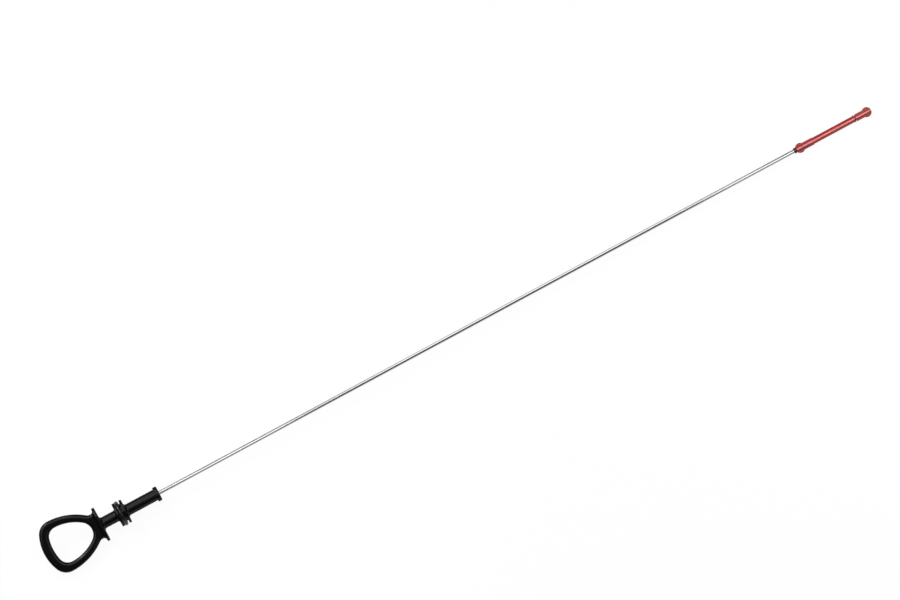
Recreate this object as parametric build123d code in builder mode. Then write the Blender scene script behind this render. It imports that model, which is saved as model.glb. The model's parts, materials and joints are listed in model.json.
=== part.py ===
from build123d import *

import os
from math import asin, atan2, cos, degrees, hypot, pi, sin

# Engine oil dipstick: a moulded handle with a finger loop, a rubber seal ring in its groove,
# a steel wire, and a moulded gauge tip with the two oil level marks.
# Each piece is modelled along the stick's own axis: +X runs from the handle to the tip, the finger
# loop lies in the XY plane, and X is 0 at the face of the stop flange that looks towards the tip.
# At the end the pieces are laid down together, as the dipstick comes to rest on a flat surface.

# Finger loop and neck
loop_width = 35.5
loop_thickness = 7.0
loop_edge_radius = 1.9
loop_end_bar = 6.5
loop_side_bar = 5.55
loop_crown_radius = 30.0
loop_widest_from_end = 11.15
opening_length = 27.9
opening_crown_radius = 30.0
opening_widest_from_end = 7.2
opening_nose_radius = 7.8
neck_length = 5.5
neck_width = 17.4
neck_straight_length = 3.6
neck_shoulder_radius = 3.5

# Stop flange between the neck and the stub
stop_flange_width = 23.4
stop_flange_height = 12.2
stop_flange_thickness = 1.8
stop_flange_edge_radius = 0.4
stop_flange_back_blend = 2.0
stop_flange_front_blend = 1.8

# Stub, seal flanges, shank and end collar
stub_diameter = 7.5
stub_length = 11.1
stub_end_blend = 1.4
seal_flange_diameter = 16.1
seal_flange_thickness = 1.55
seal_flange_edge_radius = 0.2
seal_groove_width = 3.45
seal_groove_diameter = 12.0
shank_diameter = 7.5
shank_length = 21.15
shank_start_blend = 1.6
end_collar_diameter = 9.7
end_collar_length = 2.65
end_collar_back_radius = 0.4
end_collar_front_radius = 0.7

# Seal ring
seal_cord_diameter = 2.65
seal_flattening = 0.06

# Wire
wire_diameter = 2.5
wire_exposed_length = 460.7
wire_end_chamfer = 0.3
wire_depth_in_handle = 27.0
wire_depth_in_tip = 11.0

# Gauge tip
tip_length = 55.7
tip_collar_diameter = 3.5
tip_collar_rim_radius = 0.35
tip_core_diameter = 2.4
tip_core_end_radius = 1.0
tip_lobe_diameter = 6.4
tip_lobe_from_wire_end = 4.5
tip_lobe_from_nose = 3.05
tip_lobe_blend = 1.2
tip_fin_thickness = 1.1
tip_fin_edge_radius = 0.3
tip_fin_width = 4.65
tip_reading_width = 4.05
tip_reading_edge_radius = 0.5
upper_mark_from_wire_end = 13.8
reading_length = 29.6
lower_mark_from_wire_end = 44.1
lower_mark_width = 0.6
lower_mark_diameter = 3.3

# Stations along the stick, from the stop flange's front face
neck_start = -stop_flange_thickness - neck_length
loop_end = neck_start - opening_length - loop_end_bar
groove_start = stub_length + seal_flange_thickness
groove_end = groove_start + seal_groove_width
shank_start = groove_end + seal_flange_thickness
collar_start = shank_start + shank_length
handle_end = collar_start + end_collar_length
tip_start = handle_end + wire_exposed_length
tip_end = tip_start + tip_length
first_lobe = tip_start + tip_lobe_from_wire_end
last_lobe = tip_end - tip_lobe_from_nose
upper_mark = tip_start + upper_mark_from_wire_end
reading_end = upper_mark + reading_length
lower_mark = tip_start + lower_mark_from_wire_end

# Radii shared by the pieces that meet
wire_radius = wire_diameter / 2
stub_radius = stub_diameter / 2
shank_radius = shank_diameter / 2
collar_radius = end_collar_diameter / 2
seal_flange_radius = seal_flange_diameter / 2
groove_radius = seal_groove_diameter / 2
seal_cord_radius = seal_cord_diameter / 2
lobe_radius = tip_lobe_diameter / 2

# The share of a wall that the rounding of each of its two edges may take
rounding_share = 0.45


def far_end_of_loop(far_x, widest_x, half_width, crown_radius):
    """Draw half of a three-centred arch: a flat crown that turns through a shoulder into the side."""
    reach = widest_x - far_x
    shoulder_radius = (2 * crown_radius * reach - reach**2 - half_width**2) / (2 * (crown_radius - half_width))
    crown_center = Vector(far_x + crown_radius, 0)
    shoulder_center = Vector(widest_x, half_width - shoulder_radius)
    turn = crown_center + (shoulder_center - crown_center).normalized() * crown_radius
    crown = TangentArc((far_x, 0), turn, tangent=(0, 1))
    TangentArc(turn, (widest_x, half_width), tangent=crown % 1)


# Handle: finger loop, stop flange and round stem in one moulding
loop_widest = loop_end + loop_widest_from_end
loop_half_width = loop_width / 2
neck_half_width = neck_width / 2
neck_shoulder = (-stop_flange_thickness - neck_straight_length, neck_half_width)
neck_root = -stop_flange_thickness / 2

opening_end = loop_end + loop_end_bar
opening_widest = opening_end + opening_widest_from_end
opening_half_width = loop_half_width - loop_side_bar
nose_center = Vector(neck_start - opening_nose_radius, 0)
nose_reach = nose_center.X - opening_widest
side_radius = (nose_reach**2 + opening_half_width**2 - opening_nose_radius**2) / (
    2 * (opening_half_width - opening_nose_radius)
)
side_center = Vector(opening_widest, opening_half_width - side_radius)
nose_start = nose_center + (nose_center - side_center).normalized() * opening_nose_radius

hub_radius = stub_radius + stop_flange_front_blend + stop_flange_edge_radius
stem_profile = [
    (neck_root, 0),
    (neck_root, hub_radius),
    (0, hub_radius),
    (0, stub_radius),
    (stub_length, stub_radius),
    (stub_length, seal_flange_radius),
    (groove_start, seal_flange_radius),
    (groove_start, groove_radius),
    (groove_end, groove_radius),
    (groove_end, seal_flange_radius),
    (shank_start, seal_flange_radius),
    (shank_start, shank_radius),
    (collar_start, shank_radius),
    (collar_start, collar_radius),
    (handle_end, collar_radius),
    (handle_end, 0),
]
stem_rounding = [
    0,
    0,
    stop_flange_front_blend,
    stub_end_blend,
    seal_flange_edge_radius,
    seal_flange_edge_radius,
    0,
    0,
    seal_flange_edge_radius,
    seal_flange_edge_radius,
    shank_start_blend,
    0,
    end_collar_back_radius,
    end_collar_front_radius,
]

with BuildPart() as handle:
    with BuildSketch(Plane.XY) as loop_outline:
        with BuildLine():
            far_end_of_loop(loop_end, loop_widest, loop_half_width, loop_crown_radius)
            TangentArc((loop_widest, loop_half_width), neck_shoulder, tangent=(1, 0))
            Polyline(neck_shoulder, (neck_root, neck_half_width), (neck_root, 0))
            mirror(about=Plane.XZ)
        make_face()
        for side in (1, -1):
            shoulder = (neck_shoulder[0], side * neck_shoulder[1])
            fillet(loop_outline.vertices().sort_by_distance(shoulder)[0], radius=neck_shoulder_radius)
    extrude(amount=loop_thickness / 2, both=True)
    with BuildSketch(Plane.XY) as opening_outline:
        with BuildLine():
            far_end_of_loop(opening_end, opening_widest, opening_half_width, opening_crown_radius)
            side_of_opening = TangentArc((opening_widest, opening_half_width), nose_start, tangent=(1, 0))
            TangentArc(nose_start, (neck_start, 0), tangent=side_of_opening % 1)
            mirror(about=Plane.XZ)
        make_face()
    extrude(amount=loop_thickness / 2, both=True, mode=Mode.SUBTRACT)
    loop_wall = loop_outline.wire().distance_to(opening_outline.wire())
    edge_radius = min(loop_edge_radius, rounding_share * loop_wall, rounding_share * loop_thickness)
    fillet(handle.faces().filter_by(Axis.Z).edges().filter_by(Axis.Y, reverse=True), radius=edge_radius)

    with BuildSketch(Plane.YZ.offset(-stop_flange_thickness)):
        SlotOverall(stop_flange_width, stop_flange_height)
    extrude(amount=stop_flange_thickness)
    flange_back = handle.faces().filter_by(Axis.X).sort_by(Axis.X)[0]
    fillet(flange_back.inner_wires().edges(), radius=stop_flange_back_blend)
    flange_faces = handle.faces().filter_by(Axis.X)
    fillet([edge for face in flange_faces for edge in face.outer_wire().edges()], radius=stop_flange_edge_radius)

    with BuildSketch(Plane.XY):
        with BuildLine():
            FilletPolyline(*stem_profile, radius=stem_rounding)
            Line(stem_profile[-1], stem_profile[0])
        make_face()
    revolve(axis=Axis.X)
    with Locations(Plane(origin=(handle_end, 0, 0), z_dir=(1, 0, 0))):
        Hole(radius=wire_radius, depth=wire_depth_in_handle)

# Seal ring: a round cord, a little flattened where it bears on the groove's floor and rear wall
seal_center = (groove_start + seal_cord_radius - seal_flattening, groove_radius + seal_cord_radius - seal_flattening)

with BuildPart() as seal_ring:
    with BuildSketch(Plane.XY):
        with Locations(seal_center):
            Circle(seal_cord_radius)
        with Locations((groove_start, groove_radius)):
            Rectangle(
                seal_cord_diameter,
                seal_cord_diameter,
                align=(Align.MIN, Align.MIN),
                mode=Mode.INTERSECT,
            )
    revolve(axis=Axis.X)

# Wire: one straight round bar that ends inside the handle and inside the tip
wire_start = handle_end - wire_depth_in_handle
wire_end = tip_start + wire_depth_in_tip

with BuildPart() as wire:
    with BuildSketch(Plane.YZ.offset(wire_start)):
        Circle(wire_radius)
    extrude(amount=wire_end - wire_start)
    chamfer(wire.edges().filter_by(GeomType.CIRCLE), length=wire_end_chamfer)

# Gauge tip: two crossed fins with a lobe near each end, round a core that holds the wire
tip_core_radius = tip_core_diameter / 2
ridge_cut_back = tip_reading_edge_radius * (2**0.5 - 1)
reading_corner_radius = tip_reading_width / 2 + ridge_cut_back

with BuildPart() as upper_fin:
    with BuildSketch(Plane.XY) as upper_outline:
        with Locations((first_lobe, 0)):
            Circle(lobe_radius)
        with Locations((first_lobe, 0)):
            Rectangle(upper_mark - first_lobe, tip_fin_width, align=(Align.MIN, Align.CENTER))
        waist = upper_outline.vertices().filter_by_position(Axis.X, first_lobe, upper_mark, (False, False))
        fillet(waist, radius=tip_lobe_blend)
    extrude(amount=tip_fin_thickness / 2, both=True)
    fillet(upper_fin.faces().filter_by(Axis.Z).edges(), radius=tip_fin_edge_radius)

with BuildPart() as lower_fin:
    with BuildSketch(Plane.XY) as lower_outline:
        with Locations((last_lobe, 0)):
            Circle(lobe_radius)
        with Locations((reading_end, 0)):
            Rectangle(last_lobe - reading_end, tip_fin_width, align=(Align.MIN, Align.CENTER))
        waist = lower_outline.vertices().filter_by_position(Axis.X, reading_end, last_lobe, (False, False))
        fillet(waist, radius=tip_lobe_blend)
        with Locations((tip_end, 0)):
            Rectangle(lobe_radius, tip_lobe_diameter, align=(Align.MIN, Align.CENTER), mode=Mode.SUBTRACT)
    extrude(amount=tip_fin_thickness / 2, both=True)
    fillet(lower_fin.faces().filter_by(Axis.Z).edges(), radius=tip_fin_edge_radius)

with BuildPart() as gauge_tip:
    with BuildSketch(Plane.YZ.offset(tip_start)):
        Circle(tip_collar_diameter / 2)
    extrude(amount=upper_mark - tip_start)
    fillet(gauge_tip.edges().filter_by(GeomType.CIRCLE).sort_by(Axis.X)[0], radius=tip_collar_rim_radius)
    with BuildSketch(Plane.YZ.offset(upper_mark)):
        RegularPolygon(reading_corner_radius, 4)
    extrude(amount=reading_length)
    reading_ridges = gauge_tip.edges().filter_by(Axis.X).filter_by_position(Axis.X, upper_mark, reading_end)
    fillet(reading_ridges, radius=tip_reading_edge_radius)
    with BuildSketch(Plane.YZ.offset(reading_end)):
        Circle(tip_core_radius)
    extrude(amount=last_lobe - reading_end)
    fillet(gauge_tip.edges().filter_by(GeomType.CIRCLE).sort_by(Axis.X)[-1], radius=tip_core_end_radius)
    for turn in (0, 90):
        add(upper_fin.part, rotation=(turn, 0, 0))
        add(lower_fin.part, rotation=(turn, 0, 0))
    with BuildSketch(Plane.YZ.offset(lower_mark)):
        Circle(lobe_radius)
        Circle(lower_mark_diameter / 2, mode=Mode.SUBTRACT)
    extrude(amount=lower_mark_width, mode=Mode.SUBTRACT)
    with Locations(Plane(origin=(tip_start, 0, 0), z_dir=(-1, 0, 0))):
        Hole(radius=wire_radius, depth=wire_depth_in_tip)


def edge_depth(reach, half_thickness, rounding, tilt):
    """How far below the axis a rounded edge reaches when its plate is turned down by the tilt."""
    return (reach - rounding) * sin(tilt) + (half_thickness - rounding) * cos(tilt) + rounding


# Rest: the seal ring, one side of the loop and the last lobe of the tip bear on the surface
seal_reach = seal_center[1] + seal_cord_radius
loop_arm = hypot(loop_half_width - edge_radius, loop_thickness / 2 - edge_radius)
loop_lead = atan2(loop_thickness / 2 - edge_radius, loop_half_width - edge_radius)
tip_depth = lobe_radius
for _ in range(5):
    slope = (seal_reach - tip_depth) / (last_lobe - seal_center[0])
    loop_depth = seal_reach + slope * (seal_center[0] - loop_widest)
    roll = asin((loop_depth - edge_radius) / loop_arm) - loop_lead
    tip_depth = edge_depth(lobe_radius, tip_fin_thickness / 2, tip_fin_edge_radius, pi / 2 - roll)
turned = Rot(Y=degrees(asin(slope))) * Rot(X=degrees(roll))

pieces = {"handle": handle, "seal_ring": seal_ring, "wire": wire, "gauge_tip": gauge_tip}
footprint = Compound([turned * piece.part for piece in pieces.values()]).bounding_box()
laid_down = Pos(-footprint.center().X, -footprint.center().Y, -footprint.min.Z) * turned

os.makedirs("parts", exist_ok=True)
for name, piece in pieces.items():
    piece.part.locate(laid_down)
    piece.part.label = name
    export_step(piece.part, f"parts/{name}.step")
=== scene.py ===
"""Engine oil dipstick: its finishes, fine moulded detail, studio and camera, built round the solids."""
import json
from math import cos, pi, radians, sin
from typing import NamedTuple

import bmesh
import bpy
from bpy.props import FloatProperty, FloatVectorProperty, PointerProperty
from bpy.types import NodeSocket, Operator, Panel, PropertyGroup
from mathutils import Matrix, Vector


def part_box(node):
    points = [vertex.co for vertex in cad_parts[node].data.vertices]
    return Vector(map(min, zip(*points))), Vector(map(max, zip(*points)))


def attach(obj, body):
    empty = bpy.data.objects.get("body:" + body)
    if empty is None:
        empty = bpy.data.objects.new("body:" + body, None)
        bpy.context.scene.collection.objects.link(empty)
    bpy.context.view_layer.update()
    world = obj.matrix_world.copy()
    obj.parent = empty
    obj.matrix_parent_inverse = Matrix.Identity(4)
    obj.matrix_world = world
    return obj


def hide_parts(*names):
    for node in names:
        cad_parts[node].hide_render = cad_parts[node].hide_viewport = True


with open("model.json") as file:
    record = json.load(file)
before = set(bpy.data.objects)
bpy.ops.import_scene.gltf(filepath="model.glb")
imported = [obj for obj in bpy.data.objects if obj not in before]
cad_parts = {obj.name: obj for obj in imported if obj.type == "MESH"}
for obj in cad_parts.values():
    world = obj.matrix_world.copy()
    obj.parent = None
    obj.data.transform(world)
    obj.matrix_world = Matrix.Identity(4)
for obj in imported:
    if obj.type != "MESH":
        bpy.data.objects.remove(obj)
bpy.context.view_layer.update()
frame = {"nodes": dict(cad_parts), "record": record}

bl_info = {
    "name": "Engine Oil Dipstick",
    "version": (1, 0, 0),
    "blender": (4, 5, 0),
    "location": "View3D > Sidebar > Dipstick",
    "description": "Finishes, fine moulded detail, studio and camera for an engine oil dipstick",
    "category": "Object",
}

BODY = "root"
MM = 0.001

# The picture that the camera is set up for
PICTURE_WIDTH_PIXELS = 900
SENSOR_WIDTH_MM = 36.0
CAMERA_SEES_TO = 100.0

# Steps round the made pieces
RING_STEPS = 192
CORD_STEPS = 72
WIRE_STEPS = 64
SEAM_STEPS = 10

# Two points of a mesh closer than this are one point
MERGE_DISTANCE = 0.001 * MM

# A parting line this near the stick's axis, in wire diameters, runs in the wire's bore
BORE_REACH = 0.6

# Most of a noise pattern lies within this much of its middle value
NOISE_MIDDLE = 0.5
NOISE_SPREAD = 0.2

# Length and width of the wire's drawing lines
DRAWN_LINE = (30.0 * MM, 0.16 * MM, 0.16 * MM)

# Where the painted ridge highlight on the gauge tip starts and where it is full, aside and out from the
# stick's axis
RIDGE_HIGHLIGHT_ASIDE_MM = (0.56, 0.36)
RIDGE_HIGHLIGHT_OUT_MM = (1.25, 1.8)

# Rings of painted shade round the gauge tip, at the wire's entry and in the lower mark's groove: middle
# from its wire end, half width, and fading edge
SHADE_RINGS_MM = ((0.85, 0.85, 0.6), (44.4, 0.3, 0.1))

# How strongly the painted shade darkens, where 1 hides plain plastic and 2 hides the painted ridge
# highlight too
SHADE_STRENGTH = 2.0

# The table
FLOOR_REACH = 30.0
FLOOR_PAINT = (0.9, 0.9, 0.9, 1.0)
WHITE = (1.0, 1.0, 1.0, 1.0)

mounts = {mount["name"]: mount for mount in frame["record"]["mounts"]}


class Lamp(NamedTuple):
    """A soft rectangular lamp: its lean from upright to the back, and the studio settings it takes."""

    name: str
    lean: float
    along_stick: float
    width: float
    depth: float
    distance_setting: str
    glow_setting: str


# Name, lean, place along the stick, width, depth, and the settings for distance and brightness
LAMPS = (
    Lamp("side_softbox", radians(40), -0.92, 1.36, 1.27, "lamp_distance", "side_glow"),
    Lamp("rear_softbox", radians(40), 0.0625, 0.355, 1.27, "lamp_distance", "side_glow"),
    Lamp("top_softbox", radians(2), -0.25, 2.7, 0.8, "lamp_distance", "top_glow"),
    Lamp("wire_softbox", radians(-22), -0.168, 0.095, 0.3, "low_lamp_distance", "low_glow"),
    Lamp("tip_softbox", radians(-25), 0.35, 0.32, 0.32, "low_lamp_distance", "low_glow"),
    Lamp("key_lamp", radians(36), -0.62, 0.2, 0.2, "lamp_distance", "key_glow"),
)


class DipstickSizes(PropertyGroup):
    """Sizes of the pieces that are made here, and how the stick is turned as it lies."""

    roll: FloatProperty(
        name="Loop Roll",
        description="How far the finger loop is turned about the stick as it lies on the table",
        default=radians(20.87),
        subtype="ANGLE",
        unit="ROTATION",
    )
    wire_diameter: FloatProperty(
        name="Wire Diameter",
        description="Diameter of the steel wire",
        default=2.5 * MM,
        unit="LENGTH",
    )
    seal_cord: FloatProperty(
        name="Seal Cord",
        description="Diameter of the seal ring's round cord",
        default=2.65 * MM,
        unit="LENGTH",
    )
    seal_flattening: FloatProperty(
        name="Seal Flattening",
        description="How much the cord is flattened where it bears on the groove's floor and rear wall",
        default=0.06 * MM,
        unit="LENGTH",
    )
    seal_flash: FloatProperty(
        name="Seal Flash",
        description="Height of the fine moulding line round the outside of the seal ring",
        default=0.015 * MM,
        unit="LENGTH",
    )
    seal_land: FloatProperty(
        name="Seal Land",
        description="How far the sealing faces, which have no seam, reach on both sides of the ring",
        default=2.45 * MM,
        unit="LENGTH",
    )
    seam_width: FloatProperty(
        name="Seam Width",
        description="Width of the mould seam that runs round the mouldings in their parting plane",
        default=0.24 * MM,
        unit="LENGTH",
    )
    seam_height: FloatProperty(
        name="Seam Height",
        description="How far the mould seam stands out from the surface",
        default=0.05 * MM,
        unit="LENGTH",
    )


class DipstickFinishes(PropertyGroup):
    """Colours of the pieces."""

    handle_black: FloatVectorProperty(
        name="Handle Black",
        description="Colour of the moulded handle",
        default=(0.0032, 0.0032, 0.0035),
        subtype="COLOR",
    )
    seal_black: FloatVectorProperty(
        name="Seal Black",
        description="Colour of the rubber seal ring",
        default=(0.0042, 0.0047, 0.0060),
        subtype="COLOR",
    )
    wire_steel: FloatVectorProperty(
        name="Wire Steel",
        description="Colour of the bright drawn steel wire",
        default=(0.45, 0.458, 0.465),
        subtype="COLOR",
    )
    tip_red: FloatVectorProperty(
        name="Tip Red",
        description="Colour of the moulded gauge tip",
        default=(0.31, 0.025, 0.026),
        subtype="COLOR",
    )
    # Painted highlight: a paler red for the ridges of the two fins that face the camera and face away
    # from it
    tip_ridge_highlight: FloatVectorProperty(
        name="Tip Ridge Highlight",
        description="Paler colour of two opposite edges of the tip that rub on the guide tube's bend",
        default=(0.78, 0.23, 0.215),
        subtype="COLOR",
    )
    # Painted shade: a dark red for the lower mark's groove and for the ring at the tip's end where the
    # wire goes in
    tip_painted_shade: FloatVectorProperty(
        name="Tip Painted Shade",
        description="Dark colour of old oil that stays in the lower mark and where the wire goes in",
        default=(0.05, 0.003, 0.003),
        subtype="COLOR",
    )


class DipstickStudio(PropertyGroup):
    """Camera, lamps and floor."""

    camera_distance: FloatProperty(
        name="Camera Distance",
        description="Distance of the camera, which looks square on the loop, from the loop's plane",
        default=8.0,
        unit="LENGTH",
    )
    camera_over: FloatVectorProperty(
        name="Camera Over",
        description="Point in the loop's plane that the camera looks at, along and across from the plug",
        default=(246.7 * MM, 20.45 * MM),
        size=2,
        unit="LENGTH",
    )
    camera_turn: FloatProperty(
        name="Camera Turn",
        description="How steeply the stick rises from left to right in the picture",
        default=radians(28.294),
        subtype="ANGLE",
        unit="ROTATION",
    )
    pixel_size: FloatProperty(
        name="Pixel Size",
        description="Length in the loop's plane that one pixel of the picture shows",
        default=0.639 * MM,
        unit="LENGTH",
    )
    lamp_distance: FloatProperty(
        name="Lamp Distance",
        description="Distance of the softboxes above and behind, and of the key lamp, from the stick",
        default=1.5,
        unit="LENGTH",
    )
    side_glow: FloatProperty(
        name="Side Glow",
        description="Brightness of the two softboxes at the back of the table, where 1 is white",
        default=2.4,
    )
    top_glow: FloatProperty(
        name="Top Glow",
        description="Brightness of the long softbox above the stick, where 1 is white",
        default=1.8,
    )
    low_lamp_distance: FloatProperty(
        name="Low Lamp Distance",
        description="Distance of the two low softboxes, by the wire's start and the tip, from the stick",
        default=0.3,
        unit="LENGTH",
    )
    low_glow: FloatProperty(
        name="Low Glow",
        description="Brightness of the two low softboxes, where 1 is white",
        default=1.8,
    )
    key_glow: FloatProperty(
        name="Key Glow",
        description="Brightness of the small key lamp behind the finger loop, where 1 is white",
        default=40.0,
    )
    room_grey: FloatVectorProperty(
        name="Room Grey",
        description="Colour of the dim room round the table",
        default=(0.04, 0.04, 0.041),
        subtype="COLOR",
    )
    floor_white: FloatProperty(
        name="Floor White",
        description="Share of plain white in what is seen of the floor; the rest is light and shadow",
        default=0.95,
        subtype="FACTOR",
    )


# Stick frame and pieces


def stick_matrix(roll):
    """The stick's own frame as it lies: X along it, the loop in XY, the origin in the plug's rim."""
    rim = mounts["plug_rim"]
    along = Vector(rim["axis"]).normalized()
    level = Vector((0, 0, 1)).cross(along).normalized()
    upright = along.cross(level)
    across = level * cos(roll) + upright * sin(roll)
    turned = Matrix((along, across, along.cross(across))).transposed()
    return Matrix.Translation(rim["pos_m"]) @ turned.to_4x4()


def reach_along_stick(node, stick):
    """Where a solid starts and ends along the stick."""
    to_stick = stick.inverted()
    stations = [(to_stick @ vertex.co).x for vertex in frame["nodes"][node].data.vertices]
    return min(stations), max(stations)


def show_piece(name, mesh, slot, *nodes):
    """Put a finished mesh into the scene as a piece of the dipstick, in place of these solids."""
    piece = bpy.data.objects.new(name, mesh)
    bpy.context.scene.collection.objects.link(piece)
    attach(piece, BODY)
    if nodes:
        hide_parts(*nodes)


# Nodes of any tree


def set_inputs(tree, node, inputs):
    """Give a node's inputs, by name or number, plain values or links from other nodes' outputs."""
    for key, source in inputs.items():
        if isinstance(source, NodeSocket):
            tree.links.new(source, node.inputs[key])
        else:
            node.inputs[key].default_value = source


def add_node(tree, kind, inputs=None, **settings):
    """Add a node with its settings and its inputs."""
    node = tree.nodes.new(kind)
    for setting, value in settings.items():
        setattr(node, setting, value)
    set_inputs(tree, node, inputs or {})
    return node


def add_math(tree, operation, *terms):
    """The outcome of an operation on plain values or other nodes' outputs."""
    node = add_node(tree, "ShaderNodeMath", dict(enumerate(terms)), operation=operation)
    return node.outputs["Value"]


def add_range(tree, value, start, end, low=0.0, high=1.0):
    """A value that goes from low to high as another goes from start to end, and no further."""
    inputs = {"Value": value, "From Min": start, "From Max": end, "To Min": low, "To Max": high}
    return add_node(tree, "ShaderNodeMapRange", inputs).outputs["Result"]


# Nodes of the finishes


def start_material(name):
    """Start a node material; return it, its tree, its shader and the piece's own coordinates."""
    material = bpy.data.materials.new(name)
    material.use_nodes = True
    tree = material.node_tree
    shader = tree.nodes["Principled BSDF"]
    coordinates = tree.nodes.new("ShaderNodeTexCoord")
    return material, tree, shader, coordinates.outputs["Object"]


def in_stick_frame(tree, place, stick, unit):
    """A place in the stick's own frame, in a unit of its own along each axis."""
    inputs = {
        "Vector": place,
        "Location": stick.to_translation(),
        "Rotation": stick.to_euler(),
        "Scale": unit,
    }
    return add_node(tree, "ShaderNodeMapping", inputs, vector_type="TEXTURE").outputs["Vector"]


def add_noise(tree, place, scale, detail=3.0, roughness=0.5):
    """Noise of so many cells to each unit of a place."""
    inputs = {"Vector": place, "Scale": scale, "Detail": detail, "Roughness": roughness}
    return add_node(tree, "ShaderNodeTexNoise", inputs).outputs["Fac"]


def add_ramp(tree, value, stops):
    """A colour that follows a value through stops, each a value and its colour."""
    ramp = add_node(tree, "ShaderNodeValToRGB", {"Fac": value})
    elements = ramp.color_ramp.elements
    first, *between, last = stops
    for element, (position, colour) in zip(elements, (first, last)):
        element.position = position
        element.color = (*colour, 1.0)
    for position, colour in between:
        elements.new(position).color = (*colour, 1.0)
    return ramp.outputs["Color"]


def vary_value(tree, noise, low, high):
    """A value that noise moves between low and high."""
    return add_range(tree, noise, NOISE_MIDDLE - NOISE_SPREAD, NOISE_MIDDLE + NOISE_SPREAD, low, high)


def vary_colour(tree, noise, low, high, middle=NOISE_MIDDLE, spread=NOISE_SPREAD):
    """A colour that noise moves between two colours."""
    return add_ramp(tree, noise, ((middle - spread, low), (middle + spread, high)))


def add_bump(tree, height, strength, distance):
    """The normals of a surface that a height pattern raises."""
    inputs = {"Height": height, "Strength": strength, "Distance": distance}
    return add_node(tree, "ShaderNodeBump", inputs).outputs["Normal"]


def shade(colour, factor):
    """A colour made darker or lighter by a factor."""
    return tuple(part * factor for part in colour)


# Finishes


def handle_plastic(black):
    """Black moulded plastic with a fine eroded grain, and patches polished a little by the mould."""
    material, tree, shader, place = start_material("handle_plastic_grained")
    patches = add_noise(tree, place, scale=140.0)
    grain = add_noise(tree, place, scale=2600.0, detail=2.0)
    grained = add_bump(tree, grain, strength=0.1, distance=0.02 * MM)
    set_inputs(
        tree,
        shader,
        {
            "Base Color": vary_colour(tree, patches, shade(black, 0.8), shade(black, 1.25)),
            "Roughness": vary_value(tree, patches, low=0.14, high=0.22),
            "Normal": grained,
            "Specular IOR Level": 0.0,
            "Coat Weight": 0.12,
            "Coat Roughness": 0.18,
            "Coat IOR": 2.2,
            "Coat Normal": grained,
        },
    )
    return material


def seal_rubber(black):
    """Smooth black rubber with a faint grey bloom."""
    material, tree, shader, place = start_material("seal_rubber_smooth")
    bloom = add_noise(tree, place, scale=420.0, detail=5.0, roughness=0.6)
    set_inputs(
        tree,
        shader,
        {
            "Base Color": vary_colour(tree, bloom, black, shade(black, 1.8), middle=0.58, spread=0.14),
            "Roughness": vary_value(tree, bloom, low=0.14, high=0.24),
            "Normal": add_bump(tree, bloom, strength=0.12, distance=0.02 * MM),
            "IOR": 1.52,
            "Specular IOR Level": 0.3,
        },
    )
    return material


def wire_steel(steel, stick):
    """Bright drawn steel, with fine lines along the wire and faint duller stretches."""
    material, tree, shader, place = start_material("wire_steel_drawn")
    lines_place = in_stick_frame(tree, place, stick, unit=DRAWN_LINE)
    lines = add_noise(tree, lines_place, scale=1.0, detail=4.0, roughness=0.6)
    stretches = add_noise(tree, place, scale=45.0)
    set_inputs(
        tree,
        shader,
        {
            "Base Color": vary_colour(tree, lines, shade(steel, 0.9), shade(steel, 1.06)),
            "Metallic": 1.0,
            "Roughness": vary_value(tree, stretches, low=0.12, high=0.2),
            "Normal": add_bump(tree, lines, strength=0.12, distance=0.01 * MM),
        },
    )
    return material


def ridge_highlight_mask(tree, place):
    """A painted highlight from 0 to 1 on two opposite fins' edges, by a place in the stick's frame."""
    aside = add_math(tree, "ABSOLUTE", place["Y"])
    out = add_math(tree, "ABSOLUTE", place["Z"])
    on_edge = add_range(tree, aside, *RIDGE_HIGHLIGHT_ASIDE_MM)
    return add_range(tree, out, *RIDGE_HIGHLIGHT_OUT_MM, high=on_edge)


def painted_shade_rings(tree, place, stick):
    """The strength of painted shade in rings round the gauge tip, by a place in the stick's frame."""
    tip_start, _ = reach_along_stick("gauge_tip", stick)
    ring_shade = 0.0
    for middle, half_width, fade in SHADE_RINGS_MM:
        from_middle = add_math(tree, "SUBTRACT", place["X"], tip_start / MM + middle)
        away = add_math(tree, "ABSOLUTE", from_middle)
        ring = add_range(tree, away, half_width + fade, half_width, high=SHADE_STRENGTH)
        ring_shade = add_math(tree, "ADD", ring_shade, ring)
    return ring_shade


def tip_plastic(red, ridge_highlight_colour, shade_colour, stick):
    """Red moulded plastic, satin and a little see-through, with a painted highlight on two fins' edges
    and painted shade in rings.
    """
    material, tree, shader, place = start_material("tip_plastic_satin")
    clouds = add_noise(tree, place, scale=260.0)
    skin = add_noise(tree, place, scale=3000.0, detail=2.0)
    place_mm = in_stick_frame(tree, place, stick, unit=(MM, MM, MM))
    stick_place = add_node(tree, "ShaderNodeSeparateXYZ", {"Vector": place_mm}).outputs
    ridge_lit = ridge_highlight_mask(tree, stick_place)
    ring_shade = painted_shade_rings(tree, stick_place, stick)
    # Random tone, plus the painted ridge highlight, less the painted shade rings
    tone_highlight_and_shade = add_math(tree, "SUBTRACT", add_math(tree, "ADD", clouds, ridge_lit), ring_shade)
    dull_red = shade(red, 0.88)
    colours = ((0.0, shade_colour), (0.1, dull_red), (0.3, dull_red), (0.7, shade(red, 1.1)), (1.0, ridge_highlight_colour))
    off_ridge_roughness = vary_value(tree, clouds, low=0.3, high=0.42)
    set_inputs(
        tree,
        shader,
        {
            "Base Color": add_ramp(tree, tone_highlight_and_shade, colours),
            "Roughness": add_range(tree, ridge_lit, 0.0, 1.0, low=off_ridge_roughness, high=0.2),
            "Normal": add_bump(tree, skin, strength=0.2, distance=0.02 * MM),
            "IOR": 1.5,
            "Specular IOR Level": 0.35,
            "Subsurface Weight": 0.08,
            "Subsurface Radius": (1.0, 0.22, 0.18),
            "Subsurface Scale": 0.8 * MM,
        },
    )
    return material


# Shapes made by rule


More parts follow.
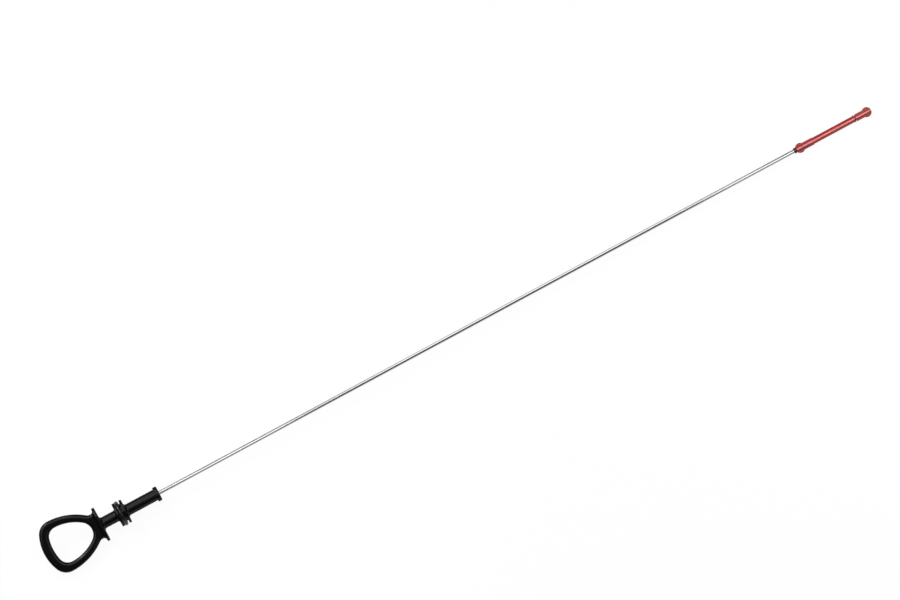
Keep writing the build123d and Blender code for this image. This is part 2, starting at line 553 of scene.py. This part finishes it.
def start_tree(name, sizes):
    """Start a geometry node tree with a path and named lengths as its inputs; return it and them."""
    tree = bpy.data.node_groups.new(name, "GeometryNodeTree")
    tree.interface.new_socket("Path", in_out="INPUT", socket_type="NodeSocketGeometry")
    for size in sizes:
        tree.interface.new_socket(size, in_out="INPUT", socket_type="NodeSocketFloat")
    tree.interface.new_socket("Piece", in_out="OUTPUT", socket_type="NodeSocketGeometry")
    return tree, tree.nodes.new("NodeGroupInput").outputs


def end_tree(tree, mesh, material):
    """Smooth the mesh, make it real, give it its material and pass it out of the tree."""
    smooth = add_node(tree, "GeometryNodeSetShadeSmooth", {"Geometry": mesh}).outputs["Geometry"]
    real = add_node(tree, "GeometryNodeRealizeInstances", {"Geometry": smooth}).outputs["Geometry"]
    painted = add_node(tree, "GeometryNodeSetMaterial", {"Geometry": real, "Material": material})
    add_node(tree, "NodeGroupOutput", {"Piece": painted.outputs["Geometry"]})


def grow_mesh(tree, sizes, path=None):
    """Run a geometry node tree with these sizes, on a path if it needs one, and return a plain mesh."""
    holder = bpy.data.objects.new(tree.name, path or bpy.data.meshes.new(tree.name))
    bpy.context.scene.collection.objects.link(holder)
    modifier = holder.modifiers.new(tree.name, "NODES")
    modifier.node_group = tree
    for socket in tree.interface.items_tree:
        if socket.in_out == "INPUT" and socket.name in sizes:
            modifier[socket.identifier] = sizes[socket.name]
    evaluated = holder.evaluated_get(bpy.context.evaluated_depsgraph_get())
    mesh = bpy.data.meshes.new_from_object(evaluated)
    holder.modifiers.remove(modifier)
    bpy.data.objects.remove(holder)
    if not mesh.polygons:
        raise RuntimeError(f"{tree.name} made no faces")
    return mesh


def add_circle(tree, steps, radius):
    """A circle of so many steps."""
    inputs = {"Resolution": steps, "Radius": radius}
    return add_node(tree, "GeometryNodeCurvePrimitiveCircle", inputs).outputs["Curve"]


def keep_level(tree, curve):
    """A curve on which a swept section doesn't roll."""
    return add_node(tree, "GeometryNodeSetCurveNormal", {"Curve": curve}, mode="Z_UP").outputs["Curve"]


def sweep(tree, curve, section, capped):
    """The skin that a section leaves along a curve."""
    inputs = {"Curve": curve, "Profile Curve": section, "Fill Caps": capped}
    return add_node(tree, "GeometryNodeCurveToMesh", inputs).outputs["Mesh"]


def seal_ring_tree(material):
    """A round cord swept round a ring, flattened on its seats, with a fine moulding line outside."""
    tree, sizes = start_tree("Seal Ring", ("Ring Radius", "Cord Radius", "Seat Depth", "Flash Height"))
    ring = keep_level(tree, add_circle(tree, RING_STEPS, sizes["Ring Radius"]))
    cord = add_circle(tree, CORD_STEPS, sizes["Cord Radius"])
    position = tree.nodes.new("GeometryNodeInputPosition").outputs["Position"]
    point = add_node(tree, "ShaderNodeSeparateXYZ", {"Vector": position}).outputs
    inner_seat = add_math(tree, "SUBTRACT", 0.0, sizes["Seat Depth"])
    out = add_math(tree, "MAXIMUM", point["X"], inner_seat)
    back = add_math(tree, "MINIMUM", point["Y"], sizes["Seat Depth"])
    round_cord = tree.nodes.new("GeometryNodeSplineParameter").outputs["Factor"]
    from_outside = add_math(tree, "PINGPONG", round_cord, 0.5)
    one_step = 1.0 / CORD_STEPS
    flash = add_range(tree, from_outside, 0.0, one_step, low=sizes["Flash Height"], high=0.0)
    out_with_flash = add_math(tree, "ADD", out, flash)
    seated = add_node(tree, "ShaderNodeCombineXYZ", {"X": out_with_flash, "Y": back}).outputs["Vector"]
    seated_cord = add_node(tree, "GeometryNodeSetPosition", {"Geometry": cord, "Position": seated})
    end_tree(tree, sweep(tree, ring, seated_cord.outputs["Geometry"], capped=False), material)
    return tree


def wire_tree(material):
    """A round wire drawn along a straight line, closed at both ends."""
    tree, sizes = start_tree("Drawn Wire", ("Length", "Radius"))
    along = {"Direction": (1.0, 0.0, 0.0), "Length": sizes["Length"]}
    line = add_node(tree, "GeometryNodeCurvePrimitiveLine", along, mode="DIRECTION").outputs["Curve"]
    section = add_circle(tree, WIRE_STEPS, sizes["Radius"])
    end_tree(tree, sweep(tree, line, section, capped=True), material)
    return tree


def seam_tree(name, material):
    """A low bead that follows a path in the parting plane, which is XY."""
    tree, sizes = start_tree(name, ("Height", "Half Width"))
    path = add_node(tree, "GeometryNodeMeshToCurve", {"Mesh": sizes["Path"]}).outputs["Curve"]
    circle = add_circle(tree, SEAM_STEPS, 1.0)
    size = {"X": sizes["Height"], "Y": sizes["Half Width"], "Z": 1.0}
    scale = add_node(tree, "ShaderNodeCombineXYZ", size).outputs["Vector"]
    shape = {"Geometry": circle, "Scale": scale}
    section = add_node(tree, "GeometryNodeTransform", shape).outputs["Geometry"]
    end_tree(tree, sweep(tree, keep_level(tree, path), section, capped=True), material)
    return tree


def parting_path(node, stick, wanted):
    """The line where a solid meets its parting plane, in the stick's frame, where it is wanted."""
    work = bmesh.new()
    work.from_mesh(frame["nodes"][node].data)
    bmesh.ops.remove_doubles(work, verts=work.verts, dist=MERGE_DISTANCE)
    bmesh.ops.transform(work, matrix=stick.inverted(), verts=work.verts)
    cut = bmesh.ops.bisect_plane(
        work,
        geom=work.verts[:] + work.edges[:] + work.faces[:],
        dist=MERGE_DISTANCE,
        plane_co=(0, 0, 0),
        plane_no=(0, 0, 1),
    )
    edges = [part for part in cut["geom_cut"] if isinstance(part, bmesh.types.BMEdge)]
    kept = [edge for edge in edges if wanted((edge.verts[0].co + edge.verts[1].co) / 2)]
    corners = list(dict.fromkeys(vertex for edge in kept for vertex in edge.verts))
    number = {vertex: index for index, vertex in enumerate(corners)}
    path = bpy.data.meshes.new(f"{node} parting path")
    path.from_pydata(
        [(vertex.co.x, vertex.co.y, 0.0) for vertex in corners],
        [[number[vertex] for vertex in edge.verts] for edge in kept],
        [],
    )
    work.free()
    return path


def add_seam(name, node, slot, material, stick, sizes, bare_start=0.0, bare_end=0.0):
    """Run a mould seam round the outside of a moulding, but for a bare stretch along the stick."""
    wire_start, wire_end = reach_along_stick("wire", stick)
    bore = BORE_REACH * sizes.wire_diameter

    def on_outside(point):
        in_bore = wire_start - bore < point.x < wire_end + bore and abs(point.y) < bore
        bare = bare_start < point.x < bare_end
        return not in_bore and not bare

    mesh = grow_mesh(
        seam_tree(name, material),
        {"Height": sizes.seam_height, "Half Width": sizes.seam_width / 2},
        parting_path(node, stick, on_outside),
    )
    mesh.transform(stick)
    show_piece(name, mesh, slot)


# Stage


def lay_floor(white):
    """A wide white table that looks white from above and in reflections, and keeps the soft shadow."""
    material = bpy.data.materials.new("floor_white")
    material.use_nodes = True
    tree = material.node_tree
    tree.nodes.clear()
    paint = add_node(tree, "ShaderNodeBsdfDiffuse", {"Color": FLOOR_PAINT}).outputs["BSDF"]
    glow = add_node(tree, "ShaderNodeEmission", {"Color": WHITE, "Strength": 1.0}).outputs["Emission"]
    ray = tree.nodes.new("ShaderNodeLightPath").outputs
    seen = ray["Is Camera Ray"]
    for kind in ("Is Glossy Ray", "Is Transmission Ray"):
        seen = add_math(tree, "MAXIMUM", seen, ray[kind])
    share = add_math(tree, "MULTIPLY", seen, white)
    mixed = add_node(tree, "ShaderNodeMixShader", {0: share, 1: paint, 2: glow}).outputs["Shader"]
    add_node(tree, "ShaderNodeOutputMaterial", {"Surface": mixed})

    mesh = bpy.data.meshes.new("floor")
    corners = ((-1, -1), (1, -1), (1, 1), (-1, 1))
    mesh.from_pydata([(x * FLOOR_REACH, y * FLOOR_REACH, 0.0) for x, y in corners], [], [(0, 1, 2, 3)])
    mesh.materials.append(material)
    floor = bpy.data.objects.new("floor", mesh)
    bpy.context.scene.collection.objects.link(floor)


def dim_room(scene, grey):
    """Surround the table with a dim room, which draws dark lines along the bright wire."""
    world = bpy.data.worlds.new("room")
    world.use_nodes = True
    background = world.node_tree.nodes["Background"]
    set_inputs(world.node_tree, background, {"Color": (*grey, 1.0), "Strength": 1.0})
    scene.world = world


def hang_lamp(lamp, studio):
    """Hang a lamp that looks at the stick, as bright as a white surface where its glow is 1."""
    distance = getattr(studio, lamp.distance_setting)
    glow = getattr(studio, lamp.glow_setting)
    light = bpy.data.lights.new(lamp.name, "AREA")
    light.shape = "RECTANGLE"
    light.size = lamp.width
    light.size_y = lamp.depth
    light.energy = glow * pi * lamp.width * lamp.depth
    hung = bpy.data.objects.new(lamp.name, light)
    hung.location = (lamp.along_stick, distance * sin(lamp.lean), distance * cos(lamp.lean))
    hung.rotation_euler = (-lamp.lean, 0.0, 0.0)
    hung.visible_camera = False
    bpy.context.scene.collection.objects.link(hung)


def set_camera(scene, studio, stick):
    """Look square on the finger loop, turned so that the stick rises from left to right."""
    camera = bpy.data.cameras.new("camera")
    camera.sensor_width = SENSOR_WIDTH_MM
    camera.lens = studio.camera_distance / studio.pixel_size * SENSOR_WIDTH_MM / PICTURE_WIDTH_PIXELS
    camera.clip_end = CAMERA_SEES_TO
    placed = bpy.data.objects.new("camera", camera)
    over = Matrix.Translation((*studio.camera_over, studio.camera_distance))
    placed.matrix_world = stick @ over @ Matrix.Rotation(-studio.camera_turn, 4, "Z")
    scene.collection.objects.link(placed)
    scene.camera = placed


# Operators


class DIPSTICK_OT_handle(Operator):
    """Finish the moulded handle and run its mould seam round it"""

    bl_idname = "dipstick.handle"
    bl_label = "Handle"

    def execute(self, context):
        sizes = context.scene.dipstick_sizes
        stick = stick_matrix(sizes.roll)
        material = handle_plastic(context.scene.dipstick_finishes.handle_black)
        frame["nodes"]["handle"].material_slots[0].material = material
        ring_start, ring_end = reach_along_stick("seal_ring", stick)
        add_seam(
            "handle_mould_seam",
            "handle",
            "handle_plastic",
            material,
            stick,
            sizes,
            bare_start=ring_start - sizes.seal_land,
            bare_end=ring_end + sizes.seal_land,
        )
        return {"FINISHED"}


class DIPSTICK_OT_seal_ring(Operator):
    """Make the rubber seal ring in its groove"""

    bl_idname = "dipstick.seal_ring"
    bl_label = "Seal Ring"

    def execute(self, context):
        sizes = context.scene.dipstick_sizes
        stick = stick_matrix(sizes.roll)
        material = seal_rubber(context.scene.dipstick_finishes.seal_black)
        ring_start, _ = reach_along_stick("seal_ring", stick)
        low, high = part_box("seal_ring")
        cord_radius = sizes.seal_cord / 2
        seat_depth = cord_radius - sizes.seal_flattening
        mesh = grow_mesh(
            seal_ring_tree(material),
            {
                "Ring Radius": (high.y - low.y) / 2 - cord_radius,
                "Cord Radius": cord_radius,
                "Seat Depth": seat_depth,
                "Flash Height": sizes.seal_flash,
            },
        )
        axis_along_stick = Matrix.Rotation(pi / 2, 4, "Y")
        mesh.transform(stick @ Matrix.Translation((ring_start + seat_depth, 0, 0)) @ axis_along_stick)
        show_piece("seal_ring_cord", mesh, "seal_rubber", "seal_ring")
        return {"FINISHED"}


class DIPSTICK_OT_wire(Operator):
    """Draw the steel wire from the handle to the gauge tip"""

    bl_idname = "dipstick.wire"
    bl_label = "Wire"

    def execute(self, context):
        sizes = context.scene.dipstick_sizes
        stick = stick_matrix(sizes.roll)
        material = wire_steel(context.scene.dipstick_finishes.wire_steel, stick)
        wire_start, wire_end = reach_along_stick("wire", stick)
        mesh = grow_mesh(
            wire_tree(material),
            {"Length": wire_end - wire_start, "Radius": sizes.wire_diameter / 2},
        )
        mesh.transform(stick @ Matrix.Translation((wire_start, 0, 0)))
        show_piece("wire_drawn", mesh, "wire_steel", "wire")
        return {"FINISHED"}


class DIPSTICK_OT_gauge_tip(Operator):
    """Finish the moulded gauge tip and run its mould seam along two of its fins"""

    bl_idname = "dipstick.gauge_tip"
    bl_label = "Gauge Tip"

    def execute(self, context):
        sizes = context.scene.dipstick_sizes
        stick = stick_matrix(sizes.roll)
        finishes = context.scene.dipstick_finishes
        # The tip's colours include a painted ridge highlight and painted shade rings
        material = tip_plastic(finishes.tip_red, finishes.tip_ridge_highlight, finishes.tip_painted_shade, stick)
        frame["nodes"]["gauge_tip"].material_slots[0].material = material
        add_seam("tip_mould_seam", "gauge_tip", "tip_plastic", material, stick, sizes)
        return {"FINISHED"}


class DIPSTICK_OT_stage(Operator):
    """Set the white table, the room, the lamps and the camera"""

    bl_idname = "dipstick.stage"
    bl_label = "Stage"

    def execute(self, context):
        studio = context.scene.dipstick_studio
        lay_floor(studio.floor_white)
        dim_room(context.scene, studio.room_grey)
        for lamp in LAMPS:
            hang_lamp(lamp, studio)
        set_camera(context.scene, studio, stick_matrix(context.scene.dipstick_sizes.roll))
        context.scene.view_settings.view_transform = "Standard"
        return {"FINISHED"}


class DIPSTICK_PT_pieces(Panel):
    """The dipstick's pieces and stage, with the sizes and colours that they are made from"""

    bl_label = "Dipstick"
    bl_idname = "DIPSTICK_PT_pieces"
    bl_space_type = "VIEW_3D"
    bl_region_type = "UI"
    bl_category = "Dipstick"

    def draw(self, context):
        for setting in GROUPS:
            group = getattr(context.scene, setting)
            box = self.layout.box()
            for name in group.__annotations__:
                box.prop(group, name)
        for operator in OPERATORS:
            self.layout.operator(operator.bl_idname)


GROUPS = {
    "dipstick_sizes": DipstickSizes,
    "dipstick_finishes": DipstickFinishes,
    "dipstick_studio": DipstickStudio,
}
OPERATORS = (
    DIPSTICK_OT_handle,
    DIPSTICK_OT_seal_ring,
    DIPSTICK_OT_wire,
    DIPSTICK_OT_gauge_tip,
    DIPSTICK_OT_stage,
)


def register():
    """Let Blender know the settings, the operators and the panel."""
    for name, group in GROUPS.items():
        bpy.utils.register_class(group)
        setattr(bpy.types.Scene, name, PointerProperty(type=group))
    for operator in OPERATORS:
        bpy.utils.register_class(operator)
    bpy.utils.register_class(DIPSTICK_PT_pieces)


def unregister():
    """Take the panel, the operators and the settings out of Blender again."""
    bpy.utils.unregister_class(DIPSTICK_PT_pieces)
    for operator in reversed(OPERATORS):
        bpy.utils.unregister_class(operator)
    for name, group in reversed(GROUPS.items()):
        delattr(bpy.types.Scene, name)
        bpy.utils.unregister_class(group)


def main():
    """Make the pieces and the stage in order."""
    register()
    bpy.ops.dipstick.handle()
    bpy.ops.dipstick.seal_ring()
    bpy.ops.dipstick.wire()
    bpy.ops.dipstick.gauge_tip()
    bpy.ops.dipstick.stage()


if __name__ == "__main__":
    main()
